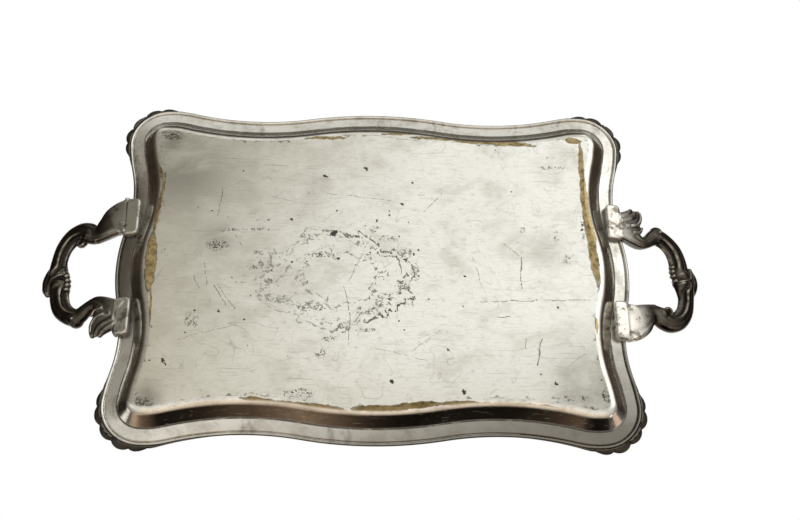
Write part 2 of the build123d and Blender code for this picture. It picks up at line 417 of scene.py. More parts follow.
def local(u, v, w):
    return ROOT + OUT * u + SIDEWAYS * v + NORMAL * w


def limb(stations, count, relief=None, lift=0.0, seg=48):
    s = smooth_stations(stations, count)
    path = np.array([local(u, v, lift + 0.16 * max(0.0, 12.0 - u)) for u, v in s[:, :2]])
    du, dv = np.gradient(s[:, :2], axis=0).T
    size = np.hypot(du, dv)
    across = np.outer(-dv / size, OUT) + np.outer(du / size, SIDEWAYS)
    return tube(path, across, NORMAL, s[:, 2] / 2, s[:, 3] / 2, seg, relief)


def notch(phi, where, width, depth):
    gap = np.abs((phi - math.radians(where) + math.pi) % (2 * math.pi) - math.pi)
    return depth * np.exp(-(gap / width) ** 2)


def window(t, a, b, soft=0.05):
    lo = 1 / (1 + math.exp(-(t - a) / soft * 4))
    hi = 1 / (1 + math.exp((t - b) / soft * 4))
    return lo * hi


def squared(phi, n):
    """Scale that turns the round section towards a rounded box."""
    return (np.abs(np.cos(phi)) ** n + np.abs(np.sin(phi)) ** n) ** (-1.0 / n)


# grooves, or with a minus ridges, along a limb: angle in degrees round the section,
# width, depth, and the shares of the limb between which they run
LONG_GROOVES = [(134, 0.27, 0.36, 0.46, 0.955), (283, 0.1, 0.06, 0.5, 0.86),
                (255, 0.3, -0.07, 0.5, 0.9)]
SHORT_GROOVES = [(218, 0.36, 0.52, 0.1, 0.47), (139, 0.26, 0.42, 0.1, 0.47),
                 (286, 0.1, 0.07, 0.1, 0.47), (253, 0.25, -0.06, 0.1, 0.47),
                 (270, 0.12, 0.06, 0.62, 0.86)]


def grooves(phi, t, rows):
    return sum(notch(phi, *cut) * window(t, first, last) for *cut, first, last in rows)


def long_relief(phi, t):
    """Flat leg, a grooved arm whose groove turns across at a rounded lip."""
    leg = window(t, -0.3, 0.3, 0.06)
    bend = 62 * window(t, 0.9, 2.0)
    k = squared(phi, 2.35 + 2.6 * leg)
    k -= (notch(phi, 228, 0.1, 0.045) + notch(phi, 300, 0.1, 0.045)) * leg
    k -= grooves(phi, t, [(222 + bend, 0.36, 0.46, 0.46, 0.955)] + LONG_GROOVES)
    return k + 0.07 * math.exp(-((t - 0.955) / 0.016) ** 2)


def short_relief(phi, t):
    """A scroll with a deep groove on its inner side and a smooth leg."""
    leg = window(t, 0.74, 2.0, 0.06)
    return squared(phi, 2.35 + 2.2 * leg) - grooves(phi, t, SHORT_GROOVES)


def finger(points, radii, flat, lift):
    """Tapered tongue of a leaf through (u, v) points."""
    st = [(u, v, 2 * r, 2 * r * flat) for (u, v), r in zip(points, radii)]
    r = radii[-1]
    tip = ball(local(*points[-1], lift), (r, r, r * flat), HANDLE_AXES, 10, 16)
    return [limb(st, 26, None, lift, 20), tip]


def curl(centre, start, turns, r0, r1, t0, t1, lift=0.0):
    """Flat volute that winds inwards from r0 to r1."""
    a = start + np.linspace(0, turns * 2 * math.pi, 50)
    r, thick = (np.linspace(first, last, 50) for first, last in ((r0, r1), (t0, t1)))
    across = np.outer(np.cos(a), OUT) + np.outer(np.sin(a), SIDEWAYS)
    path = local(*centre, lift) + r[:, None] * across
    return tube(path, across, NORMAL, thick / 2, thick * 0.75, 20)


# pads under the flange: middle and half length in x, corner radius and its points,
# then each row's growth past the outline and height over the flange's face
PAD_X, PAD_HALF, PAD_CORNER, PAD_POINTS = 221.35, 7.15, 4.5, 7
PAD_ROWS = ((0, 3), (0, -2.6), (-0.4, -3.8), (-1.2, -4.65), (-2.3, -5), (-3.4, -5))


def flange_z(x):
    """Height of the flange's face at the handles, where the pads meet it."""
    return EDGE_Z - 0.6 + (x - 230.0) * math.tan(SLOPE)


def foot(y, width):
    """Block under the flange, its lower face bevelled and worn."""
    rows = []
    for grow, drop in PAD_ROWS:
        r = PAD_CORNER + grow
        for q, (sx, sy) in enumerate(((1, 1), (-1, 1), (-1, -1), (1, -1))):
            for b in np.linspace(0, math.pi / 2, PAD_POINTS) + q * math.pi / 2:
                px = PAD_X + sx * (PAD_HALF - PAD_CORNER) + r * math.cos(b)
                py = y + sy * (width / 2 - PAD_CORNER) + r * math.sin(b)
                rows.append((px, py, flange_z(px) + drop))
    seg = 4 * PAD_POINTS
    faces = grid_faces(len(PAD_ROWS), seg, flip=True)
    return rows, faces + [tuple(range(seg)), tuple(range(len(rows) - seg, len(rows)))[::-1]]


# tongues of the leaves: points, radii along them, flatness, lift across the plane
TONGUES = [
    ([(-2, -54), (6, -58), (11, -61.5), (14, -65)], [5.5, 4.6, 3.6, 2.4], 0.9, -0.3),
    # the knee's pointed lobe and the ridges that run down the broad leg
    ([(44, 37), (38, 33), (33.5, 30.5)], [5.5, 4.6, 3], 1.1, -0.5),
    ([(28, 43), (22, 48), (17, 55), (9, 61.5), (0, 66)], [2.4, 2.2, 2, 2, 2], 1.9, -0.4),
    ([(30, 29.5), (20, 31), (9, 33.2), (0, 34)], [2.4, 2.2, 2, 1.8], 1.9, -0.4),
    # outer leaf with two blunt lobes
    ([(71, 14), (76, 7), (80, -1), (81, -8), (79, -14.5)], [4, 5.4, 5.6, 4.8, 3.6], 0.85, 0.8),
    ([(78, 4), (82.5, -3), (84, -8.5), (83.5, -12)], [3, 3.2, 3, 2.2], 0.9, 1.6),
    ([(73, -2), (76, -9), (76, -15)], [3.5, 3.6, 2.6], 0.9, -2.6),
    # ribbed hook leaf
    ([(6, -41), (14, -43), (20, -45), (22.5, -49)], [5, 4.4, 3.3, 2.2], 0.9, 0),
    ([(4, -46), (13, -48.5), (19.5, -53), (22.5, -58.5), (22, -64)],
     [5.5, 5.2, 4.4, 3.8, 2.8], 0.95, -0.2),
    ([(0, -51), (9, -54), (15.5, -58), (18.5, -63.5)], [6, 5, 4, 2.6], 0.9, -0.3),
    ([(11, -40.5), (19, -42), (22.6, -47)], [2, 1.8, 1.2], 0.9, -4.6),
    ([(9, -46.5), (17, -49.5), (21.5, -56), (21.5, -62)], [2.2, 2, 1.7, 1.2], 0.9, -4.8)]
# swellings: place in the handle plane and across it, half sizes, rows, columns
BOSSES = [
    ((42, -46.8, 0), (7, 7.2, 6.9), 20, 32), ((42, -46.8, 0), (3, 3, 8.4), 12, 18),
    ((37.5, 36, -0.5), (7.6, 7.4, 7.2), 20, 32), ((66.3, -8.5, -0.4), (9.2, 6.5, 6.9), 18, 28)]
BOSSES += [((u, v, -1), (2.6, 2.3, 3.8), 12, 18)
           for u, v in ((58, -1.5), (56.3, -6), (55.8, -10.5), (56.2, -15))]


def build_handle():
    parts = [limb(LONG_LIMB, 130, long_relief), limb(SHORT_LIMB, 120, short_relief)]
    for points, radii, flat, lift in TONGUES:
        parts += finger(points, radii, flat, lift)
    for place, semi, rows, seg in BOSSES:
        parts.append(ball(local(*place), semi, HANDLE_AXES, rows, seg))
    parts.append(curl((42.0, -46.8), math.radians(75), -1.25, 6.3, 2.2, 3.6, 2.2, -0.4))
    parts.append(curl((47.5, 31.5), math.radians(-160), 1.1, 4.2, 1.4, 4.0, 2.6))
    parts += [foot(48.0, 37.0), foot(-49.5, 36.0)]
    return cast("handle", parts, HANDLE_VOXEL, seat_under_rim)


SIDE_EDGE = EDGE[CORNERS[1]:CORNERS[2] + 1]


def seat_under_rim(co):
    """Presses what would pass through the rim down onto its underside."""
    order = np.argsort(SIDE_EDGE[:, 1])
    edge_x = np.interp(co[:, 1], SIDE_EDGE[order, 1], SIDE_EDGE[order, 0])
    inset = edge_x - co[:, 0]
    limit = np.where(inset > 3.0, height_at(UNDER, np.clip(inset, 3.0, 40)) - 0.05,
                     WIRE_Z - WIRE - 0.1)
    hit = (inset > -0.2) & (co[:, 2] > limit)
    co[hit, 2] = limit[hit]
    return co


def seat_on_rim(co):
    """Lifts what would pass through the rim up onto its upper face."""
    near = slice(CORNERS[1] - 130, CORNERS[1] + 90)
    track, normals = EDGE[near], OUTWARD[near]
    inset = np.empty(len(co))
    for k in range(0, len(co), 4000):
        gap = co[k:k + 4000, None, :2] - track[None]
        best = np.argmin((gap ** 2).sum(2), axis=1)
        rows = np.arange(len(best))
        inset[k:k + 4000] = -(gap[rows, best] * normals[best]).sum(1)
    across = np.clip((inset - WIRE) / WIRE, -1.0, 1.0)
    bead = WIRE_Z + WIRE * np.sqrt(1.0 - across ** 2)
    limit = np.where(inset > 2.6, height_at(OVER, np.clip(inset, 3.3, 40)), bead)
    limit = np.where(inset < 0.0, WIRE_Z - 1.9, limit)
    co[:, 2] = np.maximum(co[:, 2], limit)
    return co


# ---- corner mounts ----------------------------------------------------------
SHELL_INSET, SHELL_TURN = 19.0, math.radians(74)
FLUTES, SHELL_ROWS, SHELL_COLS = 9, 22, 120
SHELL_TOP, SHELL_LOW = 14.2, 12.6
LOBE_PITCH = 15.5
LONG_TAIL, SHORT_TAIL = 106.0, 60.0
BORDER_SEG, SUNK = 48, 1.3
SCROLL_Z, SCROLL_HEIGHT = 15.2, 2.4
# beads beyond the scrolls: distance from the corner, inset, half sizes
BEADS = [(34, 8.8, 9.5, 3.8, 3.6), (44, 7.6, 9, 3.2, 3), (54, 6.6, 8, 2.7, 2.5),
         (64, 5.8, 7, 2.2, 2)]


def frame_at(dist):
    """Edge point and outward normal, measured along from the +X +Y corner."""
    d = (ALONG[CORNERS[1]] + dist) % PERIMETER
    p = np.array([np.interp(d, ALONG, v) for v in EDGE.T])
    n = np.array([np.interp(d, ALONG, v) for v in OUTWARD.T])
    return p, n / math.hypot(*n)


def border_swell(dist):
    """Reach past the edge, height, width and lobe share at a distance along."""
    tail = LONG_TAIL if dist < 0 else SHORT_TAIL
    t = min(abs(dist) / tail, 1.0)
    body = (1 - t) ** 0.85
    lobe = abs(math.cos(math.pi * dist / LOBE_PITCH)) ** 0.6
    near = math.exp(-(abs(dist) / 39.0) ** 4)
    height = 1.2 + 8.2 * body * (0.84 + 0.16 * lobe * near)
    reach = (0.7 + 5.6 * near * (0.55 + 0.45 * lobe)) * min(1.0, body * 2.0)
    width = 3.0 + 8.5 * body
    return reach, height, width, lobe * near


def build_border():
    """Swollen lobed border that leans out over the edge round one corner."""
    rows = []
    dists = np.concatenate([np.linspace(-LONG_TAIL, -44, 60), np.linspace(-43, 43, 190),
                            np.linspace(44, SHORT_TAIL, 18)])
    phi = np.linspace(0, 2 * math.pi, BORDER_SEG, endpoint=False)
    c, up = np.cos(phi), np.sin(phi)
    share = 0.42 + np.where(up < 0, 0.42, 0.58) * up
    for d in dists.tolist():
        (x, y), (nx, ny) = frame_at(d)
        reach, height, width, lobe = border_swell(d)
        half = (reach + width) / 2
        lean = 0.55 * reach * (np.minimum(1.0, share / 0.42) - 1.0) * (c > -0.2)
        out = reach - half + half * c * (1.0 - 0.1 * (1 - lobe) * (c > 0)) + lean
        rows += zip(x + nx * out, y + ny * out, WIRE_Z - SUNK + (height + SUNK) * share)
    seg = BORDER_SEG
    return capped(rows, len(dists), seg, np.mean(rows[:seg], 0), np.mean(rows[-seg:], 0))


def corner_axes():
    """The shell's focus, and the directions out of and along the corner."""
    p, n = frame_at(0.0)
    return p - n * SHELL_INSET, n, np.array((-n[1], n[0]))


def scroll(points, radii):
    """Tapered scroll lying on the flange through (x, y) points."""
    st = smooth_stations([(x, y, r) for (x, y), r in zip(points, radii)], 50)
    path = np.column_stack([st[:, :2], np.full(len(st), SCROLL_Z)])
    g = np.gradient(st[:, :2], axis=0)
    g /= np.linalg.norm(g, axis=1)[:, None]
    across = np.column_stack([-g[:, 1], g[:, 0], np.zeros(len(st))])
    return tube(path, across, np.array((0, 0, 1)), st[:, 2], [SCROLL_HEIGHT] * len(st), 24)


def shell():
    """Fluted shell that opens towards the corner."""
    focus, n, t = corner_axes()
    verts = []
    for f in np.linspace(0, 1, SHELL_ROWS + 1):
        arch = 1.2 + 6.8 * math.sin(math.pi * min(f * 0.86 + 0.12, 1)) ** 0.7
        for a in np.linspace(-SHELL_TURN, SHELL_TURN, SHELL_COLS + 1):
            wave = abs(math.cos(FLUTES * a * math.pi / (2 * SHELL_TURN))) ** 0.6
            r = 2.5 + (17.5 + 1.6 * wave) * f * (1 - 0.16 * (a / SHELL_TURN) ** 2)
            lift = arch * (0.72 + 0.28 * wave * min(1.0, 2.2 * f))
            verts.append((*(focus + (n * math.cos(a) + t * math.sin(a)) * r), SHELL_TOP + lift))
    top = grid_faces(SHELL_ROWS + 1, SHELL_COLS + 1, wrap=False)
    m = len(verts)
    rim = border_index(SHELL_COLS, SHELL_ROWS)
    faces = top + [tuple(m + i for i in f[::-1]) for f in top]
    faces += strip(rim, [m + i for i in rim], flip=True)
    return verts + [(x, y, SHELL_LOW) for x, y, _ in verts], faces


def build_mount():
    focus, n, t = corner_axes()
    parts = [build_border(), shell(), ball((*(focus + n), 15.0), (5.2, 5.2, 4.6))]
    for side in (1, -1):
        c = focus + t * side * 14.5 - n * 1.5
        turns = [(math.radians(-100 + 42 * k), 7.6 - 0.62 * k) for k in range(9)]
        parts.append(scroll([c + n * r * math.cos(a) + t * side * r * math.sin(a)
                             for a, r in turns], [2.3 - 0.08 * k for k in range(9)]))
        parts.append(ball((*c, SCROLL_Z), (2.6, 2.6, 3.0)))
        for d, inset, *semi in BEADS[:4 if side > 0 else 2]:
            q, m = frame_at(-side * d)
            turn = math.atan2(m[1], m[0]) + side * math.radians(78)
            axes = np.array([(math.cos(turn), math.sin(turn), 0),
                             (-math.sin(turn), math.cos(turn), 0), (0, 0, 1)])
            place = (*(q - m * inset), float(height_at(OVER, inset)) + 0.2)
            parts.append(ball(place, semi, axes, 12, 20))
    return cast("mount", parts, MOUNT_VOXEL, seat_on_rim)


# ---- shader helpers ----------------------------------------------------------
class Nodes:
    """Short calls to add and link shader nodes in one tree."""

    def __init__(self, tree):
        self.tree = tree
        self.made = 0

    def add(self, kind, **inputs):
        node = self.tree.nodes.new("ShaderNode" + kind)
        node.location = (220 * (self.made % 12), -260 * (self.made // 12))
        self.made += 1
        for key, value in inputs.items():
            self.put(node.inputs[key.replace("_", " ")], value)
        return node

    def put(self, socket, value):
        if isinstance(value, bpy.types.NodeSocket):
            self.tree.links.new(value, socket)
        elif value is not None:
            socket.default_value = value

    def fill(self, node, *values):
        """Puts the values into the node's inputs in their order."""
        for socket, value in zip(node.inputs, values):
            self.put(socket, value)
        return node.outputs[0]

    def math(self, op, a, b=None, c=None, clamp=False):
        node = self.add("Math")
        node.operation = op
        node.use_clamp = clamp
        return self.fill(node, a, b, c)

    plus = partialmethod(math, "ADD")
    minus = partialmethod(math, "SUBTRACT")
    times = partialmethod(math, "MULTIPLY")
    most = partialmethod(math, "MAXIMUM")
    line = partialmethod(math, "MULTIPLY_ADD")

    def band(self, value, centre, inner, outer):
        """1 within the inner gap from the centre, 0 beyond the outer one."""
        gap = self.math("ABSOLUTE", self.minus(value, centre))
        return self.ramp(gap, inner, outer, 1, 0)

    def fold(self, op, values):
        """Joins the values one by one, as they come."""
        total = None
        for value in values:
            total = value if total is None else self.math(op, total, value)
        return total

    def vec(self, op, a, b=None, scale=None):
        node = self.add("VectorMath")
        node.operation = op
        self.put(node.inputs[0], a)
        self.put(node.inputs[1], b)
        if scale is not None:
            self.put(node.inputs["Scale"], scale)
        return node.outputs["Value" if op in ("DOT_PRODUCT", "LENGTH", "DISTANCE") else 0]

    @cached_property
    def coords(self):
        return self.add("TexCoord").outputs["Object"]

    def mapped(self, scale, spin=0):
        return self.add("Mapping", Vector=self.coords, Rotation=(0, 0, spin),
                        Scale=scale).outputs[0]

    def noise(self, vector, scale, detail=3, rough=0.55, warp=0):
        return self.add("TexNoise", Vector=vector, Scale=scale, Detail=detail,
                        Roughness=rough, Distortion=warp).outputs[0]

    def shake(self, vector, scale, reach, detail):
        """The point moved about by two noises, up to a reach in metres."""
        other = self.vec("ADD", vector, (3.1, 1.7, 0))
        east = self.minus(self.noise(vector, scale, detail, 0.6), 0.5)
        north = self.minus(self.noise(other, scale, detail, 0.6), 0.5)
        move = self.add("CombineXYZ", X=self.times(east, reach[0]),
                        Y=self.times(north, reach[1]))
        return self.vec("ADD", vector, move.outputs[0])

    def axes(self, vector):
        return self.add("SeparateXYZ", Vector=vector).outputs

    def ramp(self, value, low, high, to_low=0, to_high=1):
        node = self.add("MapRange")
        node.interpolation_type = "SMOOTHSTEP"
        return self.fill(node, value, low, high, to_low, to_high)

    def mix(self, share, a, b):
        node = self.add("Mix")
        node.data_type = "RGBA"
        for key, value in (("Factor", share), ("A", a), ("B", b)):
            self.put(node.inputs[key], (*value, 1) if isinstance(value, tuple) else value)
        return node.outputs["Result"]

    def either(self, share, a, b):
        """One shader or the other by share."""
        return self.fill(self.add("MixShader"), share, a, b)

    def attribute(self, name):
        node = self.add("Attribute")
        node.attribute_name = name
        return node.outputs["Fac"]


def fresh_tree(owner):
    """An empty node tree for a material or the world."""
    owner.use_nodes = True
    owner.node_tree.nodes.clear()
    return Nodes(owner.node_tree)


def material(name):
    mat = bpy.data.materials.new(name)
    nodes = fresh_tree(mat)
    shader = nodes.add("BsdfPrincipled")
    nodes.add("OutputMaterial", Surface=shader.outputs[0])
    return mat, nodes, shader


def in_metres(x0, y0, x1, y1):
    """Both ends of a line on the panel, and its direction."""
    a, b = Vector((x0, y0, 0)) * MM, Vector((x1, y1, 0)) * MM
    return a, b, (b - a).normalized()


def line_mask(n, spot, *row):
    """1 on a straight scratch, else 0; the row is both ends and the half width."""
    *ends, width = row
    a, b, along = in_metres(*ends)
    rel = n.vec("SUBTRACT", spot, tuple(a))
    t = n.vec("DOT_PRODUCT", rel, tuple(along))
    side = n.vec("DOT_PRODUCT", rel, (-along.y, along.x, 0))
    inside = n.times(n.math("GREATER_THAN", t, 0), n.math("LESS_THAN", t, (b - a).length))
    return n.times(inside, n.band(side, 0, 0, width * MM))


def lens(n, spot, *row):
    """Grows from 0 in the middle of a long oval to 1 on its edge."""
    *ends, width = row
    a, b, along = in_metres(*ends)
    rel = n.vec("SUBTRACT", spot, tuple((a + b) / 2))
    t = n.vec("DOT_PRODUCT", rel, tuple(along / ((b - a).length / 2)))
    side = n.vec("DOT_PRODUCT", rel, tuple(Vector((-along.y, along.x, 0)) / (width * MM)))
    return n.plus(n.times(t, t), n.times(side, side))


def distance(n, spot, x, y):
    return n.vec("DISTANCE", spot, (x * MM, y * MM, 0))


def oval(n, spot, x, y, wide, high):
    """Distance from a point, 1 at the given half sizes; all in millimetres."""
    rel = n.vec("SUBTRACT", spot, (x * MM, y * MM, 0))
    return n.vec("LENGTH", n.vec("MULTIPLY", rel, (1 / (wide * MM), 1 / (high * MM), 0)))


# wear and painted shade on the panel, in millimetres
# bare brass: both ends of a long oval, then its half width
BRASS = [
    (-199, -27, -198, 29, 5), (-205, -108, -193, -78, 1.5), (-193, -86, -199, -22, 1.7),
    (-196, 22, -194, 62, 0.9), (193, -128, 192, -52, 2.3), (192, -94, 200, 20, 4.2),
    (195, 50, 195, 64, 1.5), (180, -131, 195, -129.5, 2.8), (-66, -128, -28, -129.5, 1.6),
    (6, -134, 36, -135, 1.1), (34, -131, 112, -129, 2), (70, -129.5, 150, -124.5, 2.9),
    (-112, 126, -66, 132.5, 2.2), (-78, 131, -26, 135, 2.6), (-18, 134.5, 26, 134.5, 2.8),
    (10, 134, 60, 129.5, 2.6), (56, 129.3, 112, 130, 2.2), (118, 129.5, 156, 132, 1.3)]
# scratches: both ends, then half width
SCRATCHES = [
    (-139, -72, -142, -46, 0.55), (-126, -30, -119, -16, 0.5), (-151, 0, -147, 24, 0.4),
    (-160, 14, -154, 26, 0.5), (-142, 22, -129, 42, 0.6), (-138, 22, -122, 46, 0.4),
    (132, -8, 131, 24, 0.8), (146, 70, 141, 96, 0.9), (133, 71, 131, 80, 0.5),
    (60, 62, 32, 84, 0.4), (-4, -28, -22, 18, 0.4), (-44, -70, 22, -62, 0.4),
    (62, -72, 44, -52, 0.45), (93, 36, 116, 35.5, 0.6), (112, 35.5, 144, 34.5, 0.5),
    (150, 34, 191, 33, 0.55), (-27, 22, -21, 50, 0.5), (-21, 48, -22, 78, 0.5),
    (104, 50, 120, 51, 0.6), (-13, -133, 40, -128, 0.4), (116, -22, 131, -8, 0.4),
    (-170, 74, -120, 60, 0.35), (88, -8, 96, 22, 0.3), (-96, -66, -60, -58, 0.3),
    (0, 80, 46, 92, 0.3), (166, 96, 184, 84, 0.4)]
# stained rings: size in ring radii, half width and depth
RINGS = [(1, 0.042, 1), (0.86, 0.03, 0.9), (0.55, 0.03, 0.8)]
# hair scratches: direction, fineness and the level that shows
HAIR = [(0.06, 900, 0.665), (1.35, 700, 0.69), (-0.7, 620, 0.7),
        (0.5, 780, 0.69), (2.4, 560, 0.71), (1.62, 880, 0.68)]
# dark spots: centre and radius
SPOTS = [
    (-46, -88, 1.8), (-9, -97, 2), (34, -82, 1.5), (25, -60, 1.8), (2, -43, 1.6),
    (-75, -43, 1.6), (-37, -29, 3), (-33, -4, 1.8), (77, 119, 2.2), (-180, 94, 1.7),
    (-178, 97, 1.2), (156, 112, 1.5), (-136, 48, 1.8), (-163, 68, 1.2), (163, 41, 1.6),
    (80, 12, 1.4), (15, 111, 1.8), (64, 82, 1.3), (190, -42, 1.6), (189, -36, 1.3)]
# painted shade patches, most at the panel's corners: centre, radius and depth
SHADE_PATCHES = [
    (-182, -92, 66, 0.58), (200, 112, 72, 0.6), (-190, -124, 26, 0.75), (-192, 128, 24, 0.65),
    (200, 120, 26, 0.6), (-196, -60, 20, 0.45), (-140, -20, 26, 0.35), (160, -20, 30, 0.25),
    (180, 128, 22, 0.4), (-60, 128, 18, 0.25)]
# stained patches: centre, half sizes and depth
STAINS = [
    (-141, -16, 12, 7, 1.5), (-104, -9, 6, 4, 1.3), (-101, 2, 4, 5, 1), (-108, 6, 5, 3, 0.9),
    (-132, -31, 20, 2.5, 0.9), (-104, -32, 26, 2.2, 0.9), (-100, -42, 12, 1.6, 0.7),
    (-62, -25, 9, 5, 0.9), (-48, -8, 18, 4, 1), (-6, -6, 12, 4, 0.9), (0, -34, 7, 4, 1),
    (-92, 19, 8, 4, 0.9), (-119, 21, 7, 2.5, 0.9), (-84, 35, 16, 6, 1), (-54, 42, 18, 7, 1.1),
    (-60, 20, 8, 3.5, 0.8), (-6, 46, 16, 6, 0.9), (-8, 64, 14, 3, 0.9), (-38, 72, 10, 4, 0.9),
    (-45, 86, 10, 8, 0.7), (-64, 122, 22, 6, 0.9), (-104, 125, 22, 4, 0.9), (12, -24, 12, 5, 1),
    (27, -10, 8, 9, 1.1), (36, 8, 5, 12, 1.2), (24, 22, 12, 5, 1), (8, 36, 12, 9, 0.9),
    (136, -36, 7, 12, 0.6), (165, -29, 8, 12, 0.6), (172, -6, 8, 10, 0.6), (166, -101, 15, 3, 1.1),
    (190, -40, 4, 26, 0.7), (-190, -128, 13, 6, 1.5), (-196, 131, 16, 6, 1.4),
    (204, 121, 12, 10, 1.1), (168, 124, 26, 4, 0.8), (-150, -66, 26, 18, 0.35),
    (-158, 56, 10, 12, 0.8)]


def panel_wear(n):
    """Places for the panel's wear: brass, dark spots and stains."""
    spot = n.vec("MULTIPLY", n.coords, (1, 1, 0))
    shaken = n.shake(spot, 95, (0.006, 0.006), 4)
    brass = n.fold("MINIMUM", (lens(n, shaken, *row) for row in BRASS))
    torn = n.shake(shaken, 340, (0.0045, 0.0065), 3)
    marks = n.fold("MINIMUM", (n.math("DIVIDE", distance(n, torn, x, y), r * MM)
                               for x, y, r in SPOTS))
    stain = n.fold("MAXIMUM", (
        n.times(n.ramp(oval(n, shaken, x, y, wide, high), 0.35, 1.15, 1, 0), depth)
        for x, y, wide, high, depth in STAINS))
    return spot, shaken, brass, marks, stain


def dark_marks(n, spot, marks, stain):
    """Pitted ring, stains, spots and pits of the panel, 0 to 1."""
    fret = n.noise(spot, 165, 2.5, 0.6, 0.6)
    speck = n.noise(spot, 620, 2, 0.55)
    gate = n.noise(spot, 75, 3, 0.6)
    lines = n.times(n.band(fret, 0.5, 0, 0.046), n.ramp(gate, 0.44, 0.5))
    dots = n.ramp(speck, 0.615, 0.645)
    fine = n.most(lines, n.times(n.band(fret, 0.57, 0, 0.034), 0.9))
    patchy = n.ramp(n.minus(stain, n.noise(spot, 80, 5, 0.68)), 0.02, 0.12)
    fine = n.times(fine, n.ramp(n.noise(spot, 360, 2), 0.45, 0.5))
    stained = n.times(n.most(fine, dots), patchy)
    heavy = n.times(n.ramp(stain, 1, 1.5), n.ramp(speck, 0.52, 0.57))
    warp = n.noise(spot, 30, 4, 0.68, 0.6)
    reach = oval(n, spot, -34, 16, 66, 45)
    ring_d = n.plus(reach, n.times(n.minus(warp, 0.5), 1.1))
    east = n.ramp(n.axes(spot)[0], -0.08, 0.02, 0.55, 1)
    rings = n.fold("MAXIMUM", (n.times(n.band(ring_d, size, 0, width), depth)
                               for size, width, depth in RINGS))
    broken = n.ramp(n.noise(spot, 240, 2, 0.6), 0.44, 0.49)
    rings = n.times(n.times(rings, broken), east)
    cells = n.add("TexVoronoi", Vector=n.shake(spot, 700, (0.0022, 0.0022), 2),
                  Scale=230).outputs
    pick = n.add("SeparateColor", Color=cells["Color"]).outputs
    chance = n.line(n.ramp(reach, 0.9, 2.2, 1, 0), 0.1, 0.01)
    chance = n.line(n.math("MINIMUM", stain, 1), 0.22, chance)
    size = n.line(pick[1], 0.16, 0.06)
    pits = n.times(n.math("LESS_THAN", pick[0], chance),
                   n.ramp(n.minus(cells["Distance"], size), 0, 0.05, 1, 0))
    spots = n.ramp(marks, 0.75, 1, 1, 0)
    return n.fold("MAXIMUM", (stained, heavy, rings, pits, spots))


def wire_up(n, shader, tone, metallic, rough, height, strength, depth):
    """Joins a material's colour, metal share, roughness and relief to its shader."""
    bump = n.add("Bump", Strength=strength, Distance=depth, Height=height)
    for name, value in (("Base Color", tone), ("Metallic", metallic), ("Roughness", rough),
                        ("Normal", bump.outputs[0])):
        n.put(shader.inputs[name], value)


def panel_tone(n, spot, shaken, cloud, mottle, fine, x, y):
    """Silver of the panel, darker at -X and to +Y, painted shade in patches, and the mask of its
    hair scratches.
    """
    west = n.ramp(n.line(y, 0.55, x), 0.03, -0.24)
    west = n.plus(west, n.times(n.minus(cloud, 0.5), 0.9), clamp=True)
    tone = n.mix(west, (0.97, 0.97, 0.925), (0.56, 0.54, 0.465))
    tone = n.mix(n.ramp(cloud, 0.48, 0.7, 0, 0.34), tone, (0.58, 0.56, 0.5))
    tone = n.mix(n.ramp(mottle, 0.5, 0.72, 0, 0.38), tone, (0.5, 0.48, 0.43))
    pale = n.times(n.ramp(mottle, 0.5, 0.3), n.line(west, -0.4, 0.42))
    tone = n.mix(pale, tone, (0.93, 0.925, 0.9))
    tone = n.mix(n.ramp(fine, 0.52, 0.74, 0, 0.34), tone, (0.36, 0.34, 0.3))
    low = n.ramp(n.line(x, 0.3, y), 0.07, 0.19, 0, 0.42)
    tone = n.mix(low, tone, (0.5, 0.48, 0.415))
    warm = n.ramp(n.line(x, -0.6, y), 0.04, 0.24, 0, 0.38)
    tone = n.mix(warm, tone, (0.62, 0.575, 0.44))
    # painted shade in patches, most at the panel's corners, broken up by the cloud noise
    panel_shade = n.fold("MAXIMUM", (n.ramp(distance(n, shaken, x0, y0), 0, r * MM, depth, 0)
                                for x0, y0, r, depth in SHADE_PATCHES))
    panel_shade = n.times(panel_shade, n.ramp(cloud, 0.3, 0.6, 0.6, 1.3), clamp=True)
    tone = n.mix(panel_shade, tone, (0.25, 0.235, 0.2))
    nicks = n.fold("MAXIMUM", (
        n.ramp(n.noise(n.mapped((0.028, 1, 1), spin), scale, 2, 0.5), level, level + 0.07)
        for spin, scale, level in HAIR))
    arc = n.noise(spot, 13, 2, 0.5, 1.2)
    hair = nicks
    for level in (0.47, 0.53, 0.6):
        hair = n.most(hair, n.times(n.band(arc, level, 0, 0.0022), 0.8))
    return tone, nicks, hair


def rim_tone(n, mottle, flange, x, y):
    """Wall and flange: cleaner metal, stained in drifts; painted shade on the flange towards +X +Y
    and a painted dark reflection on the -X flange.
    """
    rim_cloud = n.noise(n.coords, 30, 5, 0.65)
    rim = n.mix(n.ramp(rim_cloud, 0.42, 0.66), (0.8, 0.785, 0.74), (0.6, 0.575, 0.52))
    rim = n.mix(n.ramp(mottle, 0.5, 0.72, 0, 0.45), rim, (0.36, 0.335, 0.29))
    drift = n.ramp(n.noise(n.mapped((1, 0.4, 1)), 38, 5, 0.68), 0.55, 0.68, 0, 0.55)
    rim = n.mix(n.times(drift, flange), rim, (0.2, 0.175, 0.14))
    # painted shade on the flange towards +X +Y
    near = n.ramp(n.line(x, 0.34, y), 0.06, 0.21, 0, 0.88)
    rim = n.mix(n.times(near, flange), rim, (0.15, 0.14, 0.12))
    # painted dark reflection: a brown band down the middle of the -X flange
    brown = n.times(n.ramp(x, -0.195, -0.225, 0, 0.84), n.band(y, -0.015, 0.055, 0.1))
    return n.mix(n.times(brown, flange), rim, (0.095, 0.08, 0.06))


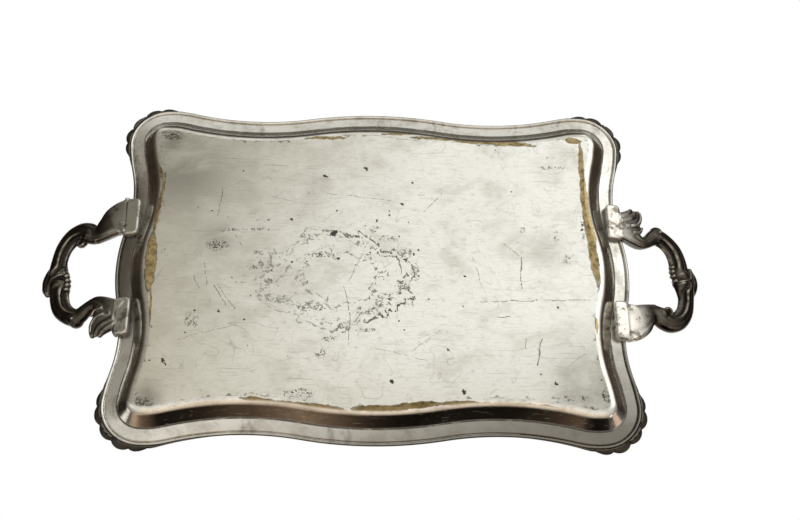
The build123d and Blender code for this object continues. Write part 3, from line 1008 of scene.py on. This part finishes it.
def plate_material():
    """Worn silver plate over brass for the pressed sheet and the bead."""
    mat, n, shader = material("worn_plate")
    spot, shaken, brass_d, marks, stain = panel_wear(n)
    inset = n.attribute("inset")
    on_panel = n.ramp(inset, PANEL - 2.5, PANEL + 1)
    flange = n.ramp(inset, FLANGE - 0.6, FLANGE + 0.2, 1, 0)
    x, y = n.axes(n.coords)[:2]
    cloud = n.noise(n.mapped((1, 1.5, 1)), 22, 5, 0.62, 0.5)
    mottle = n.noise(n.mapped((1, 1.6, 1)), 120, 5, 0.68)
    fine = n.noise(n.mapped((1, 4, 1)), 170, 5, 0.68)
    tone, nicks, hair = panel_tone(n, spot, shaken, cloud, mottle, fine, x, y)
    cut = n.fold("MAXIMUM", (line_mask(n, shaken, *row) for row in SCRATCHES))
    cut = n.times(cut, n.ramp(n.noise(spot, 330, 3), 0.38, 0.52))
    dark = dark_marks(n, spot, marks, stain)
    dark = n.times(dark, n.line(n.attribute("upper"), -0.65, 1))
    # grime that lies along the panel's edge, and a painted shade line in the crease
    grime = n.times(n.band(inset, PANEL + 0.4, 0, 2.4),
                    n.ramp(n.noise(spot, 110, 6, 0.72), 0.5, 0.6))
    crease_shade = n.times(n.band(inset, FLANGE - 0.1, 0.35, 1),
                     n.ramp(n.noise(spot, 60, 5, 0.7), 0.36, 0.5, 0.45, 1))
    grime_and_shade = n.most(n.times(dark, 0.94), n.times(grime, 0.8))
    grime_and_shade = n.times(n.most(grime_and_shade, n.times(cut, 0.85)), on_panel)
    # the crease's painted shade joins the grime mask, both turned near black below
    grime_and_shade = n.most(grime_and_shade, n.times(crease_shade, 0.85))
    tone = n.mix(n.times(hair, n.line(on_panel, 0.3, 0.06)), tone, (0.17, 0.16, 0.14))
    tone = n.mix(on_panel, rim_tone(n, mottle, flange, x, y), tone)
    tone = n.mix(n.ramp(inset, 0.3, 1.5, 0.85, 0), tone, (0.16, 0.14, 0.115))
    # bare brass with a dark lip, darker towards +Y
    brass = n.ramp(brass_d, 0.8, 1, 1, 0)
    lip = n.minus(n.ramp(brass_d, 1, 1.25, 1, 0), brass)
    here = n.ramp(inset, PANEL - 6, PANEL - 3)
    brass = n.times(brass, here)
    brass_tone = n.mix(n.ramp(n.noise(spot, 140, 5, 0.7), 0.38, 0.66),
                       (0.47, 0.365, 0.19), (0.2, 0.145, 0.06))
    brass_tone = n.mix(n.ramp(y, 0.09, 0.13, 0, 0.55), brass_tone, (0.13, 0.09, 0.035))
    tone = n.mix(brass, tone, brass_tone)
    tone = n.mix(n.times(n.times(lip, here), 0.75), tone, (0.07, 0.055, 0.035))
    tone = n.mix(grime_and_shade, tone, (0.022, 0.019, 0.015))
    panel_rough = n.plus(n.ramp(fine, 0.3, 0.8, 0.3, 0.4), n.times(cloud, 0.1))
    wall_rough = n.plus(n.line(flange, 0.12, 0.1), n.times(mottle, 0.08))
    rough = n.plus(wall_rough, n.times(on_panel, n.minus(panel_rough, wall_rough)))
    rough = n.plus(n.plus(rough, n.times(grime_and_shade, 0.4)), n.times(brass, 0.08))
    wire_up(n, shader, tone, n.minus(1, n.times(grime_and_shade, 0.85)), rough,
            n.minus(n.times(fine, 0.35), n.times(nicks, 0.35)), 0.32, 0.0002)
    return mat


def casting_material():
    """Dark tarnished plate on the castings; worn high points bright, partly as painted highlights;
    painted shade on the pads' sides and low on the mounts.
    """
    mat, n, shader = material("tarnished_casting")
    patch = n.noise(n.coords, 90, 5, 0.65)
    wide = n.noise(n.coords, 28, 3, 0.6)
    grit = n.noise(n.coords, 900, 3, 0.6)
    proud = n.ramp(n.plus(n.attribute("proud"), n.times(n.minus(patch, 0.5), 1.2)), 0.3, 1)
    # tarnish in the hollows, and the deep share: painted shade on the pads' sides and low on the
    # mounts
    deep = n.most(n.ramp(n.attribute("hollow"), 0.05, 0.75),
                  n.times(n.attribute("deep"), 0.62))
    tone = n.mix(n.ramp(wide, 0.35, 0.68), (0.055, 0.048, 0.04), (0.12, 0.105, 0.086))
    # proud parts brighter: worn metal and painted highlights
    tone = n.mix(n.times(proud, 0.62), tone, (0.55, 0.51, 0.45))
    tone = n.mix(n.ramp(patch, 0.56, 0.7, 0, 0.6), tone, (0.07, 0.06, 0.05))
    tone = n.mix(deep, tone, (0.02, 0.017, 0.014))
    foot = n.attribute("foot")
    worn = n.mix(n.ramp(patch, 0.52, 0.64), (0.86, 0.83, 0.76), (0.26, 0.235, 0.195))
    rough = n.plus(n.ramp(patch, 0.3, 0.8, 0.15, 0.3), n.times(deep, 0.35))
    wire_up(n, shader, n.mix(foot, tone, worn), n.minus(1, n.times(deep, 0.6)),
            n.plus(rough, n.times(foot, 0.1)),
            n.plus(n.times(grit, 0.35), n.times(patch, 0.8)), 0.35, 0.0003)
    return mat


# ---- build -------------------------------------------------------------------
plate = plate_material()
casting = casting_material()


def settle(ob, mat, node):
    ob.data.materials.clear()
    ob.data.materials.append(mat)
    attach(ob, "root")
    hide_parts(node)


settle(build_body(), plate, "tray_body")
settle(build_wire(), plate, "edge_wire")

def casting_piece(node, co, faces, **shares):
    settle(new_mesh(node + "_look", co, faces, shares), casting, node)


co, faces, shares = build_handle()
leg_share = np.clip((252.0 - co[:, 0]) / 22.0, 0, 1) * np.where(co[:, 1] > 0, 0.55, 0.22)
pad_share = np.clip((229.5 - co[:, 0]) / 1.5, 0, 1) * 0.9
pad_face = flange_z(co[:, 0]) - 5.0
# the pads' side faces, darkened later as painted shade
pad_side_shade = np.clip((co[:, 2] - pad_face - 0.9) / 1.4, 0, 1) * (pad_share > 0)
pad_share = pad_share * (1 - 0.85 * pad_side_shade)
for name, turn in (("handle_right", 1), ("handle_left", -1)):
    # worn metal on pads and legs; the right handle gets more than the left as painted light
    worn_and_lit_share = np.maximum(pad_share * (1.0 if turn > 0 else 0.6),
                            leg_share * (1.5 if turn > 0 else 0.75))
    casting_piece(name, co * (turn, turn, 1), faces, **shares, foot=worn_and_lit_share,
                  deep=1.2 * pad_side_shade)

co, faces, shares = build_mount()
for name, sx, sy in (("corner_mount_ne", 1, 1), ("corner_mount_nw", -1, 1),
                     ("corner_mount_se", 1, -1), ("corner_mount_sw", -1, -1)):
    turned = faces if sx * sy > 0 else [f[::-1] for f in faces]
    # deep share: painted shade low on the mounts, towards the flange
    casting_piece(name, co * (sx, sy, 1), turned, **shares, foot=np.zeros(len(co)),
                  deep=np.clip((19.5 - co[:, 2]) / 4.0, 0, 1))


# ---- stage: pale floor seen only from above, soft surroundings -----------------
FLOOR, FLOOR_Z = 3.0, -0.0003


def build_floor():
    mesh = bpy.data.meshes.new("floor")
    mesh.from_pydata([(sx * FLOOR, sy * FLOOR, FLOOR_Z)
                      for sx, sy in ((-1, -1), (1, -1), (1, 1), (-1, 1))], [], [(0, 1, 2, 3)])
    ob = bpy.data.objects.new("floor", mesh)
    bpy.context.scene.collection.objects.link(ob)
    mat = bpy.data.materials.new("pale_floor")
    n = fresh_tree(mat)
    above = n.minus(1.0, n.add("NewGeometry").outputs["Backfacing"])
    seen = n.times(n.add("LightPath").outputs["Is Camera Ray"], above)
    clear = n.add("BsdfTransparent").outputs[0]
    white = n.add("BsdfDiffuse", Color=(0.86, 0.86, 0.85, 1)).outputs[0]
    n.add("OutputMaterial", Surface=n.either(seen, clear, white))
    mesh.materials.append(mat)


def build_world():
    """White to the camera; for reflections, a pale room with darker parts."""
    world = bpy.data.worlds.new("room")
    bpy.context.scene.world = world
    n = fresh_tree(world)
    way = n.add("TexCoord").outputs["Generated"]
    narrow = n.vec("NORMALIZE", n.vec("MULTIPLY", way, (2.1, 1.0, 1.0)))

    def share_of(direction, inner, outer, seen=way):
        turned = n.vec("DOT_PRODUCT", seen, tuple(Vector(direction).normalized()))
        return n.ramp(turned, math.cos(math.radians(outer)), math.cos(math.radians(inner)))
    total = n.vec("ADD", DARKEST, n.vec("SCALE", (0.84, 0.83, 0.785), scale=share_of(
        (0.02, -0.26, -0.966), 50, 102, narrow)))
    for *lobe, colour in LIGHT_LOBES:
        total = n.vec("ADD", total, n.vec("SCALE", colour, scale=share_of(*lobe)))
    for *lobe, keep in DARK_LOBES:
        loss = n.vec("SCALE", tuple(k - 1.0 for k in keep), scale=share_of(*lobe))
        total = n.vec("MULTIPLY", total, n.vec("ADD", loss, (1, 1, 1)))
    room = n.add("Background", Color=total).outputs[0]
    plain = n.add("Background", Color=(1, 1, 1, 1)).outputs[0]
    camera = n.add("LightPath").outputs["Is Camera Ray"]
    n.add("OutputWorld", Surface=n.either(camera, room, plain))


DARKEST = (0.03, 0.026, 0.021)
# direction, full within and gone beyond (degrees), colour
LIGHT_LOBES = [
    ((0, 0.45, -0.89), 5, 26, (0.2, 0.165, 0.13)),
    ((0.6, -0.42, -0.68), 8, 26, (0.8, 0.8, 0.79)),
    ((-0.35, 0.93, -0.12), 8, 30, (0.52, 0.42, 0.33)),
    ((0.89, 0.43, -0.1), 7, 16, (0.66, 0.45, 0.33)),
    ((-0.9, 0.42, -0.12), 5, 14, (1.1, 1.05, 0.95)), ((0, -0.2, 1), 14, 84, (1.02, 1.02, 1)),
    ((-0.6, -0.7, 0.35), 5, 16, (0.45, 0.45, 0.43)), ((0.7, 0.6, -0.38), 3, 8, (1.6, 1.5, 1.35)),
    ((0.3, -0.88, -0.36), 3, 8, (1.2, 1.2, 1.1)), ((-0.62, 0.1, -0.78), 4, 13, (0.35, 0.33, 0.29))]
# direction, full within and gone beyond (degrees), share of the light left
DARK_LOBES = [
    ((-0.58, -0.42, -0.7), 8, 32, (0.42, 0.405, 0.365)),
    ((0, 0.92, -0.4), 10, 56, (0.92, 0.79, 0.68)),
    ((0, 0.985, -0.174), 8, 26, (0.2, 0.18, 0.16)),
    ((0, -1, -0.02), 8, 30, (0.12, 0.11, 0.1)),
    ((0.26, 0.95, -0.17), 10, 26, (0.12, 0.11, 0.1)),
    ((-0.88, -0.4, 0.08), 24, 44, (0.22, 0.18, 0.14)),
    ((0.9, -0.4, 0.12), 16, 34, (0.26, 0.2, 0.16))]


def build_camera():
    data = bpy.data.cameras.new("camera")
    data.lens, data.sensor_width = 50.0, 36.0
    data.clip_start, data.clip_end = 0.01, 50.0
    cam = bpy.data.objects.new("camera", data)
    cam.location = (-0.01126, 0.41326, -0.90242)
    cam.rotation_euler = Euler([math.radians(a) for a in (-155.2258, 2.0925, 0.1392)], "XYZ")
    bpy.context.scene.collection.objects.link(cam)
    bpy.context.scene.camera = cam


build_floor()
build_world()
build_camera()
bpy.context.scene.view_settings.view_transform = "Standard"
